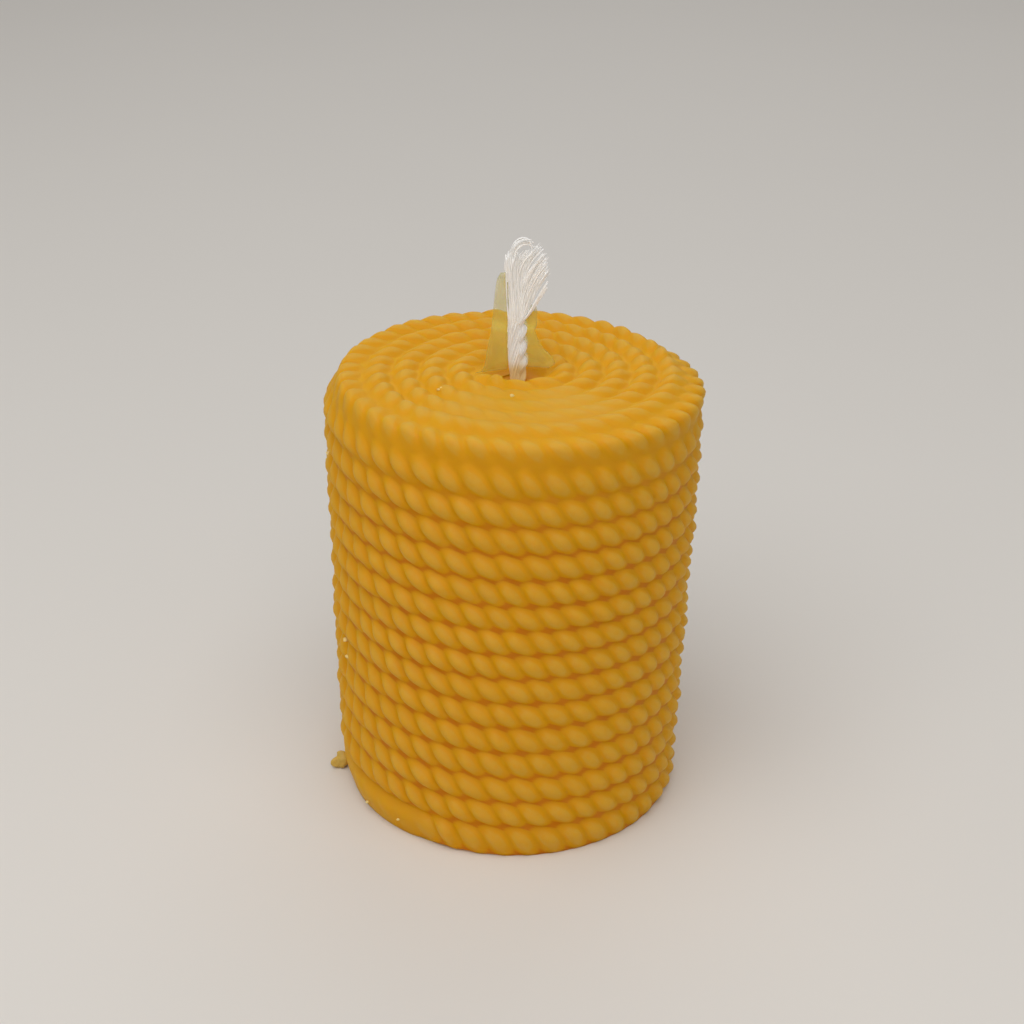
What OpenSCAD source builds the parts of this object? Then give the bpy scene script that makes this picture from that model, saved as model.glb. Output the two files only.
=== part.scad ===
// A cast beeswax pillar candle with the relief of a rope wound round it.
// The rope climbs the side clockwise, passes over the rim and spirals in to a pit round the wick.
// Millimetres. The origin is the middle of the base, and +Z is up.

/* [Wax body] */
// Diameter over the rope at the rim
rim_d = 55; // [50:0.5:60]
// Diameter over the rope at the base
base_d = 51.7; // [47:0.1:57]
// Height of the wax, up to the crest of the rope on top
wax_h = 66.9; // [50:0.1:78]

/* [Rope relief] */
// Thickness of the rope, across its corners
rope_d = 4.1; // [3.7:0.05:4.6]
// Free gap between one turn and the next
turn_gap = 0.52; // [0.46:0.01:0.8]
// Pitches that the rope moves on in the one turn that takes it over the rim
rim_room = 1.55; // [1.52:0.01:1.7]
// Bearing of the place where the rope passes over the rim
rim_bearing = -45; // [-180:5:180]
// Clearance between the rope and the wax under it
rope_seat = 0.1; // [0.05:0.01:0.25]
// Height of the start of the rope above the table
rope_lift = 0.1; // [0.05:0.01:0.3]

/* [Foot] */
// How far the smooth foot stays inside the rope's outline
foot_inset = 0.6; // [0.3:0.1:1.2]
// Clearance round the foot
foot_clear = 0.1; // [0.05:0.01:0.2]
// Height of the thin end of the foot
foot_tip = 0.45; // [0.3:0.05:0.8]

/* [Pit round the wick] */
// Diameter of the pit
pit_d = 5.7; // [5:0.1:7]
// Depth of the pit below the crest of the rope
pit_depth = 2.5; // [1.5:0.1:3.6]

/* [Wick] */
// Thickness of one strand
strand_d = 0.84; // [0.6:0.02:1]
// Free gap between the strands where they cross
strand_gap = 0.06; // [0.04:0.01:0.15]
// Length in which a strand crosses over and comes back to its place
plait_pitch = 7.2; // [6.5:0.1:10]
// Clearance between the wick and the wax round it
wick_clear = 0.1; // [0.05:0.01:0.3]
// Height of the cut end of the wick above the table
wick_recess = 0.6; // [0.5:0.1:2]
// Height above the wax at which the strands part
plait_rise = 7.4; // [4:0.1:12]
// Thickness of a strand at its loosened end
loose_d = 1.8; // [1:0.05:2.2]
// Free gap between the loosened ends, and between them and the films
loose_gap = 0.15; // [0.05:0.05:0.4]
// Height of the left, rear and front strand's end above the place where they part
loose_rise = [7.3, 7.1, 5.5]; // [4:0.1:9]

/* [Frayed end] */
// Thickness of one thread at its root
thread_d = 0.3; // [0.2:0.02:0.4]
// Thickness of one thread at its tip
thread_tip_d = 0.16; // [0.1:0.02:0.2]
// How far the threads of a lock spread, as a share of their spacing at the root
thread_spread = 0.4; // [0:0.1:0.8]
// How far the lock of the left, rear and front strand goes straight on before it turns
lock_run = [4, 1.5, 1.5]; // [1:0.1:5]
// How far the tip of each lock lies to the right of its root
lock_reach = [2.6, 1.2, 0.8]; // [0:0.1:3]
// How far the tip of each lock lies above its root
lock_rise = [3.2, 2.7, 2.7]; // [1:0.1:5]
// Clearance between a thread and the strand that it comes out of
thread_seat = 0.05; // [0.02:0.01:0.1]

/* [Flash fins] */
// Thickness of the films
film_t = 0.5; // [0.3:0.05:0.8]
// Clearance between the films and the rope under them
film_lift = 0.1; // [0.05:0.01:0.3]
// Height of the left film
left_film_h = 13.8; // [8:0.1:14]
// Reach of the left film's foot from the axis
left_film_foot = 5; // [3.5:0.1:7]
// Reach of the left film's tip from the axis
left_film_tip = 2.4; // [2:0.1:3.2]
// How sharply the left film flares out at its foot
left_film_flare = 1.6; // [1:0.1:4]
// Height of the right film
right_film_h = 9; // [5:0.1:11]
// Reach of the right film's foot from the axis
right_film_foot = 5.8; // [3.5:0.1:7]
// Reach of the right film's tip from the axis
right_film_tip = 2.9; // [2:0.1:3.2]
// How sharply the right film flares out at its foot
right_film_flare = 3; // [1:0.1:4]

/* [Seam burr] */
// Height of the lump
burr_h = 2.4; // [1:0.1:2.8]
// How far the lump stands out from the foot
burr_reach = 2.3; // [1:0.1:3]
// Thickness of the lump along the foot
burr_t = 1.2; // [0.6:0.1:2]
// Bearing of the lump, on the mould's seam
burr_bearing = 184; // [175:1:195]

/* [Hidden] */
$fn = 96;

wax_colour = "goldenrod";
rope_colour = "gold";
film_colour = "palegoldenrod";
cotton_colour = "white";

// Rope: a six-sided tube with its flats towards the neighbouring turns
rope_sides = 6;
rope_steps = 24;
tail_steps = 3;
rope_r = rope_d / 2;
rope_flat = rope_r * cos(180 / rope_sides);
pitch = 2 * rope_flat + turn_gap;
rim_z = wax_h - rope_r;
start_z = rope_flat + rope_lift;
tail_bend_r = pit_d / 2 + rope_r;
tail_turn = atan(rope_d / tail_bend_r);
spiral_end_r = norm([tail_bend_r, rope_d]);
start_turn = rope_turn((start_z - rim_z) / pitch);
end_turn = rope_turn((rope_track(rim_z) - spiral_end_r) / pitch);
rope_rings = floor((end_turn - start_turn) * rope_steps);

// Core: stays inside the chords of the rope's turns
chord = cos(180 / rope_steps);
core_top = rim_z - rope_r - rope_seat;
pit_floor = wax_h - pit_depth;
pit_floor_r = pit_d / 2 - rope_seat;
cut_over = 1;

// Foot: the wedge under the first turn
foot_r = base_d / 2 - foot_inset;
foot_hole_r = (core_r(start_z + pitch) + foot_clear) / chord;
foot_first = ceil((foot_tip + foot_clear - rope_lift) / pitch * rope_steps);
foot_last = floor(rope_steps * (1 - (rope_d + foot_clear) / (2 * PI * rope_track(0))));

// Wick: a flat plait of three strands
strand_sides = 6;
plait_steps = 12;
plait_wide = 1.12;
plait_deep = 0.8;
plait_x = plait_wide * (strand_d + strand_gap);
plait_y = plait_deep * (strand_d + strand_gap);
plait_reach = (plait_x * plait_x + 4 * plait_y * plait_y) / (4 * plait_y);
wick_half = plait_x + strand_d / 2;
wick_bore_r = plait_reach + strand_d / 2 + wick_clear;
part_z = wax_h + plait_rise;
part_ease = plait_pitch / 6;

// Loosened ends of the strands: side by side, the rear one behind the films and the front one before them
loose_x = loose_d / 2 - wick_half;
loose_y = film_t / 2 + loose_gap + loose_d / 2;
strand_ends = [for (i = [0:2]) [loose_x + i * (loose_d + loose_gap), [0, loose_y, -loose_y][i], 0]];

// Threads: a lock of them goes on from each strand's end
thread_sides = 4;
thread_steps = 6;
threads_round = 6;
lock_fill = 0.8;
lock_ring_r = lock_fill * (loose_d - thread_d) / 2;

function smooth(t) = let (c = max(0, min(1, t))) c * c * (3 - 2 * c);
function unit(v) = v / norm(v);
function flat(bearing) = [cos(bearing), sin(bearing), 0];

// Pitches travelled from the rim after so many turns, and the turns after so many pitches
function rope_run(turn) = abs(turn) < 0.5 ? rim_room * turn : sign(turn) * (abs(turn) - 0.5 + rim_room / 2);
function rope_turn(run) =
    abs(run) < rim_room / 2 ? run / rim_room : sign(run) * (abs(run) + 0.5 - rim_room / 2);

// Distance of the middle of the rope from the axis at a height on the side
function rope_track(z) = (base_d + (rim_d - base_d) * z / rim_z) / 2 - rope_r;
function core_r(z) = (rope_track(z) - rope_r) * chord - rope_seat;

// Middle of the rope, the way it runs and its outward side, after so many turns from the rim
function rope_bearing(turn) = rim_bearing - 360 * turn;
function rope_middle(turn) =
    let (run = pitch * rope_run(turn), z = rim_z + min(run, 0))
    (rope_track(z) - max(run, 0)) * flat(rope_bearing(turn)) + [0, 0, z];
function rope_way(turn) = flat(rope_bearing(turn) - 90);
function rope_out(turn) =
    let (tilt = 90 * smooth(turn + 0.5))
    cos(tilt) * flat(rope_bearing(turn)) + [0, 0, sin(tilt)];

// Points of one ring of a tube, counted round the way that it runs
function tube_ring(middle, way, out, r, sides) =
    let (side = cross(way, out))
    [for (k = [0:sides - 1]) middle + r * (cos(360 * k / sides) * out + sin(360 * k / sides) * side)];

// Both ends of the rope run straight for one thickness
function turned_in(turn, angle) = flat(rope_bearing(turn) - 90 - angle);
last_turn = start_turn + rope_rings / rope_steps;
start_rings = [for (j = [tail_steps:-1:1])
    tube_ring(rope_middle(start_turn) - rope_d * j / tail_steps * rope_way(start_turn),
        rope_way(start_turn), rope_out(start_turn), rope_r, rope_sides)];
winding_rings = [for (i = [0:rope_rings - 1]) let (turn = start_turn + i / rope_steps)
    tube_ring(rope_middle(turn), rope_way(turn), rope_out(turn), rope_r, rope_sides)];
end_rings = [for (j = [0:tail_steps])
    tube_ring(rope_middle(last_turn) + rope_d * j / tail_steps * turned_in(last_turn, tail_turn),
        turned_in(last_turn, j == 0 ? tail_turn / 2 : tail_turn), rope_out(last_turn), rope_r, rope_sides)];
all_rope_rings = concat(start_rings, winding_rings, end_rings);

// Least gap between the rope's turns, from the corners of each ring to the edges of those one turn on
function edge_gap(p, a, b) = norm(p - a - max(0, min(1, (p - a) * (b - a) / ((b - a) * (b - a)))) * (b - a));
function ring_gap(one, other) =
    min([for (p = one) for (k = [0:rope_sides - 1]) edge_gap(p, other[k], other[(k + 1) % rope_sides])]);
function turn_pair_gap(i, j) =
    min(ring_gap(all_rope_rings[i], all_rope_rings[j]), ring_gap(all_rope_rings[j], all_rope_rings[i]));
rope_gap = min([for (i = [0:len(all_rope_rings) - rope_steps - 2]) for (j = [-1:1])
    turn_pair_gap(i, i + rope_steps + j)]);
echo(str("Least gap between the turns of the rope: ", rope_gap, " mm"));

// Middle of a strand at a height: plaited below, then slowing down and leaning out to its end
slowing_z = part_z - part_ease;
function plait_z(z) = z < slowing_z ? z : part_z - part_ease * exp((slowing_z - z) / part_ease);
function plaited(i, z) =
    let (phase = 360 * (z - part_z) / plait_pitch + 270 + 120 * i)
    [plait_x * sin(phase), plait_y * sin(2 * phase), 0];
function lean(t) = let (c = max(0, t)) c * c * (2 - c);
function strand_top(i) = part_z + loose_rise[i];
function strand_middle(i, z) =
    let (parted = lean((z - part_z) / loose_rise[i]))
    plaited(i, plait_z(z)) + parted * (strand_ends[i] - plaited(i, part_z)) + [0, 0, z];
function strand_way(i, z) =
    unit(strand_middle(i, z + plait_pitch / 100) - strand_middle(i, z - plait_pitch / 100));
function strand_r(i, z) = (strand_d + (loose_d - strand_d) * lean((z - part_z) / loose_rise[i])) / 2;
function sideways(way) = unit(cross([0, 1, 0], way));

// Middle of a lock of threads and the way that it runs, at a share of its length
function lock_root(i) = strand_middle(i, strand_top(i)) + thread_seat * strand_way(i, strand_top(i));
function lock_bend(i) = lock_run[i] * strand_way(i, strand_top(i));
function lock_tip(i) = [lock_reach[i], 0, lock_rise[i]];
function lock_middle(i, t) = lock_root(i) + 2 * t * (1 - t) * lock_bend(i) + t * t * lock_tip(i);
function lock_way(i, t) = unit((1 - 2 * t) * lock_bend(i) + t * lock_tip(i));

// Middle of a thread: the last one is in the middle of its lock, and the others lie round it
function thread_middle(i, k, t) =
    let (way = lock_way(i, t), side = sideways(way), angle = 360 * k / threads_round,
        apart = k == threads_round ? 0 : lock_ring_r * (1 + thread_spread * t))
    lock_middle(i, t) + apart * (cos(angle) * side + sin(angle) * cross(way, side));

// A closed skin over rings that have the same number of points
module skin(rings) {
    count = len(rings);
    sides = len(rings[0]);
    corner = function (i, k) i * sides + k % sides;
    walls = [for (i = [0:count - 2]) for (k = [0:sides - 1]) for (half = [0, 1])
        half == 0 ? [corner(i, k), corner(i + 1, k), corner(i + 1, k + 1)]
            : [corner(i, k), corner(i + 1, k + 1), corner(i, k + 1)]];
    ends = [for (k = [1:sides - 2]) for (top = [0, 1])
        top == 0 ? [0, k, k + 1] : [corner(count - 1, 0), corner(count - 1, k + 1), corner(count - 1, k)]];
    polyhedron([for (ring = rings) each ring], concat(walls, ends));
}

module wax_core() {
    color(wax_colour) difference() {
        union() {
            cylinder(h = core_top, r1 = core_r(0), r2 = core_r(core_top));
            cylinder(h = pit_floor, r = pit_floor_r);
        }
        translate([0, 0, pit_floor]) cylinder(h = pit_depth, r = pit_floor_r);
        translate([0, 0, -cut_over]) cylinder(h = wax_h + cut_over, r = wick_bore_r);
    }
}

module foot_ramp() {
    color(wax_colour) skin([for (i = [foot_first:foot_last])
        let (out = flat(rope_bearing(start_turn + i / rope_steps)),
            top = [0, 0, rope_lift + pitch * i / rope_steps - foot_clear])
        [foot_r * out, foot_r * out + top, foot_hole_r * out + top, foot_hole_r * out]]);
}

module rope_winding() {
    color(rope_colour) skin(all_rope_rings);
}

module flash_fin(side, height, foot, tip, flare) {
    steps = 10;
    inner = wick_half + wick_clear;
    low = wax_h + film_lift;
    flank = [for (j = [0:steps]) let (t = j / steps)
        [side * (tip + (foot - tip) * pow(1 - t, flare)), low + height * t]];
    color(film_colour) rotate([90, 0, 0]) linear_extrude(film_t, center = true)
        polygon(concat([[side * inner, low]], flank, [[side * inner, low + height]]));
}

module flash_fin_left() {
    flash_fin(-1, left_film_h, left_film_foot, left_film_tip, left_film_flare);
}

module flash_fin_right() {
    flash_fin(1, right_film_h, right_film_foot, right_film_tip, right_film_flare);
}

module wick_strand(i) {
    count = ceil((strand_top(i) - wick_recess) / plait_pitch * plait_steps);
    color(cotton_colour) skin([for (j = [0:count])
        let (z = wick_recess + (strand_top(i) - wick_recess) * j / count, way = strand_way(i, z))
        tube_ring(strand_middle(i, z), way, sideways(way), strand_r(i, z), strand_sides)]);
}

module wick_strand_a() {
    wick_strand(0);
}

module wick_strand_b() {
    wick_strand(1);
}

module wick_strand_c() {
    wick_strand(2);
}

module thread(i, k) {
    skin([for (j = [0:thread_steps])
        let (t = j / thread_steps, way = lock_way(i, t))
        tube_ring(thread_middle(i, k, t), way, sideways(way),
            (thread_d + (thread_tip_d - thread_d) * t) / 2, thread_sides)]);
}

module frayed_threads() {
    color(cotton_colour) for (i = [0:2]) for (k = [0:threads_round]) thread(i, k);
}

module seam_burr() {
    steps = 6;
    seat = foot_r + foot_clear;
    color(wax_colour) rotate(burr_bearing) rotate([90, 0, 0]) linear_extrude(burr_t, center = true)
        polygon(concat([[seat, 0]], [for (j = [0:steps]) let (angle = 90 * j / steps)
            [seat + burr_reach * cos(angle), burr_h * sin(angle)]]));
}

wax_core();
foot_ramp();
rope_winding();
flash_fin_left();
flash_fin_right();
wick_strand_a();
wick_strand_b();
wick_strand_c();
frayed_threads();
seam_burr();
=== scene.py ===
"""Looks of a cast beeswax pillar candle with a rope relief, films of mould flash and a plaited wick."""

import math

import bmesh
import bpy
import numpy as np
from bpy.props import FloatProperty, FloatVectorProperty, IntProperty, PointerProperty
from mathutils import Matrix, Vector


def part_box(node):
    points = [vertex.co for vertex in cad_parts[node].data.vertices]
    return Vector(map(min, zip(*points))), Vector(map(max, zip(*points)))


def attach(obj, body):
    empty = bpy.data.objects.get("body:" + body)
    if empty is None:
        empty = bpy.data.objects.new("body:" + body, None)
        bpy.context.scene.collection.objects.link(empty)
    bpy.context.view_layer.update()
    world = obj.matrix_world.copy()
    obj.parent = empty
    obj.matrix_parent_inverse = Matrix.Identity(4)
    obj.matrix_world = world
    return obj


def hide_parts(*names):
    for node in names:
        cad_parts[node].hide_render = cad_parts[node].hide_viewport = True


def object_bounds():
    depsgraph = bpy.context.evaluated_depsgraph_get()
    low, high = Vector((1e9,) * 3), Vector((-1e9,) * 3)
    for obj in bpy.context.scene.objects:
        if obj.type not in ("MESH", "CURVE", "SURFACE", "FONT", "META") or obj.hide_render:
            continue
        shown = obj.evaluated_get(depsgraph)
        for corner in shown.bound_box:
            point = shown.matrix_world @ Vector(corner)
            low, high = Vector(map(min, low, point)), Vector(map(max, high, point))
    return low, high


bl_info = {
    "name": "Rope relief candle",
    "version": (1, 0, 0),
    "blender": (4, 5, 0),
    "location": "3D View > Sidebar > Candle",
    "description": "Builds a beeswax pillar with a rope relief and a plaited cotton wick",
    "category": "Add Mesh",
}

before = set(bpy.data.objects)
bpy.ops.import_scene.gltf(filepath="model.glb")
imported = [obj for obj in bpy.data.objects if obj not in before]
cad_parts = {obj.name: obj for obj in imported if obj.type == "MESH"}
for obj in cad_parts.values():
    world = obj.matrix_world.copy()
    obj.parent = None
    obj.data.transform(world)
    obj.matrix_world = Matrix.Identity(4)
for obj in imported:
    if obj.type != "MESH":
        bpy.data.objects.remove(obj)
CAD_LOW, CAD_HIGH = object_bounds()

MM = 0.001
ROPE_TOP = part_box("rope_winding")[1].z
CORE_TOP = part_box("wax_core")[1].z
STRAND_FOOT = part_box("wick_strand_a")[0].z
LEFT_FILM_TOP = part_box("flash_fin_left")[1].z
RIGHT_FILM_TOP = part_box("flash_fin_right")[1].z
BURR_LOW, BURR_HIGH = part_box("seam_burr")


# Properties


def linear(rgb):
    """Turns a colour written as three numbers up to 255 into the linear values that a shader takes."""
    shares = [c / 255 for c in rgb]
    return tuple(c / 12.92 if c <= 0.04045 else ((c + 0.055) / 1.055) ** 2.4 for c in shares)


def length(name, description, default):
    return FloatProperty(name=name, description=description, default=default, unit="LENGTH", precision=5)


def angle(name, description, degrees):
    return FloatProperty(name=name, description=description, default=math.radians(degrees), subtype="ANGLE")


def share(name, description, default):
    return FloatProperty(name=name, description=description, default=default, subtype="FACTOR", precision=3)


def colour(name, description, rgb):
    return FloatVectorProperty(
        name=name, description=description, default=linear(rgb), size=3, min=0, max=1, subtype="COLOR")


class CandleWax(bpy.types.PropertyGroup):
    """Sizes of the wax body and its rope relief."""

    height: length("Height", "Height of the wax up to the crest of the rope on top", ROPE_TOP)
    rim_diameter: length("Rim diameter", "Width over the rope at the rim", 55 * MM)
    base_diameter: length("Base diameter", "Width over the rope at the base", 51.7 * MM)
    rope_thickness: length("Rope thickness", "Thickness of the rope", 4.1 * MM)
    turn_pitch: length("Turn pitch", "Step from one turn of the rope to the next on the side", 4.07 * MM)
    top_pitch: length("Top pitch", "Step from one turn of the rope to the next on top", 3.9 * MM)
    pitch_swing: length("Pitch swing", "How far the turns stray from even steps up the side", 0.4 * MM)
    rim_room: share("Rim room", "Pitches that the rope moves on in its turn over the rim", 1.2)
    rim_bearing: angle("Rim bearing", "Bearing of the place where the rope passes over the rim", -80)
    lay_length: length("Lay length", "Length in which a strand goes once round the rope", 10.3 * MM)
    groove: length("Groove", "Depth of the grooves between the turns", 1.05 * MM)
    strand_share: share("Strand share", "How deep the grooves between the strands go, beside those", 0.92)
    end_radius: length("End radius", "Distance of the rope's end from the middle of the top", 4.6 * MM)
    pole_shift: length("Pole shift", "How far right of the axis the top spiral and the wick lie", 0.5 * MM)
    foot_inset: length("Foot inset", "How far the smooth foot stays inside the rope's outline", 1.1 * MM)
    pit_floor: length("Pit floor", "Height of the floor of the pit round the wick", CORE_TOP)


class CandleWick(bpy.types.PropertyGroup):
    """Sizes of the plaited wick and its frayed end."""

    low_end: length("Low end", "Height of the cut end above the table", STRAND_FOOT)
    part_height: length("Part height", "Height at which the strands part", 74.3 * MM)
    half_width: length("Half width", "Half of the width over the strands", 1.5 * MM)
    cross_pitch: length("Cross pitch", "Length in which a right strand crosses over and back", 4.8 * MM)
    cross_reach: length("Cross reach", "How far a right strand swings", 0.36 * MM)
    left_radius: length("Left radius", "Radius of the left strand, which runs straight", 0.98 * MM)
    right_radius: length("Right radius", "Radius of the two right strands", 0.6 * MM)
    yarn_radius: length("Yarn radius", "Radius of one yarn in a strand", 0.11 * MM)
    left_yarns: IntProperty(name="Left yarns", description="Yarns in the left strand", default=60, min=7)
    right_yarns: IntProperty(name="Right yarns", description="Yarns in a right strand", default=38, min=7)
    hairs: IntProperty(name="Hairs", description="Fine loose hairs on the frayed end", default=90, min=0)


class CandleFilms(bpy.types.PropertyGroup):
    """Sizes of the two films of mould flash."""

    thickness: length("Thickness", "Thickness in the middle of a film", 0.42 * MM)
    edge_thickness: length("Edge thickness", "Thickness at the edges of a film", 0.16 * MM)
    left_top: length("Left top", "Height of the top of the left film", LEFT_FILM_TOP)
    right_top: length("Right top", "Height of the top of the right film", RIGHT_FILM_TOP)
    crease_height: length("Crease height", "Height at which the films are creased", 72.4 * MM)
    crease_width: length("Crease width", "Half of the height of the pale band along a crease", 0.8 * MM)


class CandleColours(bpy.types.PropertyGroup):
    """Colours of the wax, the cotton and the floor."""

    # Painted sheen: the pale colour stands for soft light from above on the faces of the strands
    wax_crest_sheen: colour("Wax crest", "Beeswax with a pale bloom, on the faces of the strands", (216, 166, 50))
    wax_flank: colour("Wax flank", "Clear yellow beeswax on the flanks of the strands", (220, 158, 0))
    # Painted shade: the darker orange stands for the shade down in the grooves
    wax_groove_shade: colour("Wax groove", "Beeswax down in the grooves", (208, 126, 0))
    # Painted shade: the darker orange stands for the shade in the pit round the wick and in the hollows
    # beside it
    wax_pit_shade: colour("Wax pit", "Beeswax in the hollows round the wick", (212, 136, 0))
    # Partly the crumbs' own paler wax and partly a painted highlight that stands for glints on them
    wax_crumb_and_glint: colour("Wax crumb", "Pale crumbs of beeswax", (248, 220, 140))
    wax_burr: colour("Wax burr", "Thin beeswax pressed out at the mould's seam", (212, 174, 72))
    film: colour("Film", "Thin wax film", (234, 222, 118))
    cotton: colour("Cotton", "Clean cotton", (255, 252, 247))
    cotton_waxed: colour("Waxed cotton", "Cotton that has drawn up wax", (232, 196, 100))
    floor: colour("Floor", "Pale floor", (226, 222, 216))


# Small helpers for shapes


def smooth(t):
    """Eases from 0 to 1."""
    c = np.clip(t, 0, 1)
    return c * c * (3 - 2 * c)


def soft_ramp(x, rounding):
    """Zero for x well below 0 and x well above it, rounded between."""
    return (np.sqrt(x * x + rounding * rounding) + x) / 2


def unit(v):
    return v / np.linalg.norm(v, axis=-1, keepdims=True)


def vector(x, y, z):
    return np.stack(np.broadcast_arrays(x, y, z), axis=-1).astype(float)


def ripple(points, wavelength, seed, waves=9):
    """A smooth random field between about -1 and 1, from crossing waves."""
    rng = np.random.default_rng(seed)
    ways = unit(rng.normal(size=(waves, 3))) * (2 * math.pi / wavelength)
    ways = ways * rng.uniform(0.6, 1.4, size=(waves, 1))
    offsets = rng.uniform(0, 2 * math.pi, size=waves)
    return np.sin(points @ ways.T + offsets).sum(axis=-1) / math.sqrt(waves) / 1.4


def drift(places, wavelength, seed):
    """The same along one line."""
    return ripple(vector(places, 0, 0), wavelength, seed, waves=12)


def add_piece(name, points, faces, material, nodes):
    """Makes a smooth mesh piece that rides on the candle and stands for the named nodes, if any."""
    mesh = bpy.data.meshes.new(name)
    mesh.from_pydata(np.asarray(points).tolist(), [], faces)
    mesh.update()
    mesh.shade_smooth()
    mesh.materials.append(material)
    piece = bpy.data.objects.new(name, mesh)
    bpy.context.scene.collection.objects.link(piece)
    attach(piece, "root")
    if nodes:
        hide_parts(*nodes)
    return piece


def quads(grid):
    """Faces between the neighbours in a grid of point numbers."""
    corners = (grid[:-1, :-1], grid[:-1, 1:], grid[1:, 1:], grid[1:, :-1])
    return np.stack([c.ravel() for c in corners], axis=1).tolist()


def face_outwards(mesh):
    shell = bmesh.new()
    shell.from_mesh(mesh)
    bmesh.ops.recalc_face_normals(shell, faces=shell.faces)
    shell.to_mesh(mesh)
    shell.free()


def store(mesh, name, values):
    """Keeps one number a point on the mesh, for its material."""
    attribute = mesh.attributes.new(name, "FLOAT", "POINT")
    attribute.data.foreach_set("value", np.asarray(values, np.float32))


class Tubes:
    """Collects round tubes into one mesh."""

    def __init__(self):
        self.points = []
        self.faces = []

    def add(self, path, radii, sides):
        start = sum(len(p) for p in self.points)
        ways = unit(np.gradient(path, axis=0))
        side = unit(np.cross((0.0, 1.0, 0.0), ways))
        front = np.cross(ways, side)
        turn = (np.arange(sides) * 2 * math.pi / sides)[None, :, None]
        ring = np.cos(turn) * side[:, None, :] + np.sin(turn) * front[:, None, :]
        self.points.append((path[:, None, :] + np.reshape(radii, (-1, 1, 1)) * ring).reshape(-1, 3))
        last = len(path) - 1
        for i in range(last):
            low = start + i * sides
            for k in range(sides):
                after = (k + 1) % sides
                self.faces.append((low + k, low + after, low + sides + after, low + sides + k))
        self.faces.append(tuple(start + k for k in reversed(range(sides))))
        self.faces.append(tuple(start + last * sides + k for k in range(sides)))


# Small helpers for materials


class Value:
    """A number socket in a shader. Sums and products of these add Math nodes."""

    def __init__(self, nodes, socket):
        self.nodes = nodes
        self.socket = socket

    def math(self, operation, first, second):
        node = self.nodes.node("ShaderNodeMath", {"operation": operation}, {0: first, 1: second})
        return Value(self.nodes, node.outputs[0])

    def __add__(self, other):
        return self.math("ADD", self, other)

    __radd__ = __add__

    def __sub__(self, other):
        return self.math("SUBTRACT", self, other)

    def __rsub__(self, other):
        return self.math("SUBTRACT", other, self)

    def __mul__(self, other):
        return self.math("MULTIPLY", self, other)

    __rmul__ = __mul__

    def between(self, low, high):
        """Goes smoothly from 0 at low to 1 at high."""
        node = self.nodes.node(
            "ShaderNodeMapRange", {"interpolation_type": "SMOOTHSTEP"},
            {"Value": self, "From Min": low, "From Max": high})
        return Value(self.nodes, node.outputs[0])


class Nodes:
    """The shader nodes of a material or of the world."""

    def __init__(self, tree):
        self.tree = tree

    def link(self, socket, value):
        if isinstance(value, Value):
            self.tree.links.new(value.socket, socket)
        elif isinstance(value, bpy.types.NodeSocket):
            self.tree.links.new(value, socket)
        elif socket.type == "RGBA" and len(value) == 3:
            socket.default_value = (*value, 1)
        else:
            socket.default_value = value

    def node(self, kind, settings, sockets):
        made = self.tree.nodes.new(kind)
        for name, value in settings.items():
            setattr(made, name, value)
        for name, value in sockets.items():
            self.link(made.inputs[name], value)
        return made


class Paint(Nodes):
    """A material with a Principled shader and the nodes that feed it."""

    def __init__(self, name):
        self.material = bpy.data.materials.new(name)
        self.material.use_nodes = True
        super().__init__(self.material.node_tree)
        self.shader = self.tree.nodes["Principled BSDF"]
        self.place = self.node("ShaderNodeTexCoord", {}, {}).outputs["Object"]

    def noise(self, scale, detail, roughness=0.5):
        """Cloudy noise, with its scale given as the size of a cloud."""
        made = self.node(
            "ShaderNodeTexNoise", {},
            {"Vector": self.place, "Scale": 1 / scale, "Detail": detail, "Roughness": roughness})
        return Value(self, made.outputs["Fac"])

    def stored(self, name):
        made = self.node("ShaderNodeAttribute", {"attribute_name": name}, {})
        return Value(self, made.outputs["Fac"])

    def height(self):
        made = self.node("ShaderNodeSeparateXYZ", {}, {"Vector": self.place})
        return Value(self, made.outputs["Z"])

    def mix(self, factor, first, second):
        made = self.node("ShaderNodeMix", {"data_type": "RGBA"}, {"Factor": factor, 6: first, 7: second})
        return made.outputs[2]

    def bump(self, heights, distance, strength):
        made = self.node(
            "ShaderNodeBump", {}, {"Height": heights, "Distance": distance, "Strength": strength})
        return made.outputs["Normal"]

    def finish(self, **sockets):
        for name, value in sockets.items():
            self.link(self.shader.inputs[name.replace("_", " ").title().replace("Ior", "IOR")], value)
        return self.material


# Materials


def shade(rgb, factor):
    """A colour made darker or lighter."""
    return tuple(min(1.0, c * factor) for c in rgb)


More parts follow.
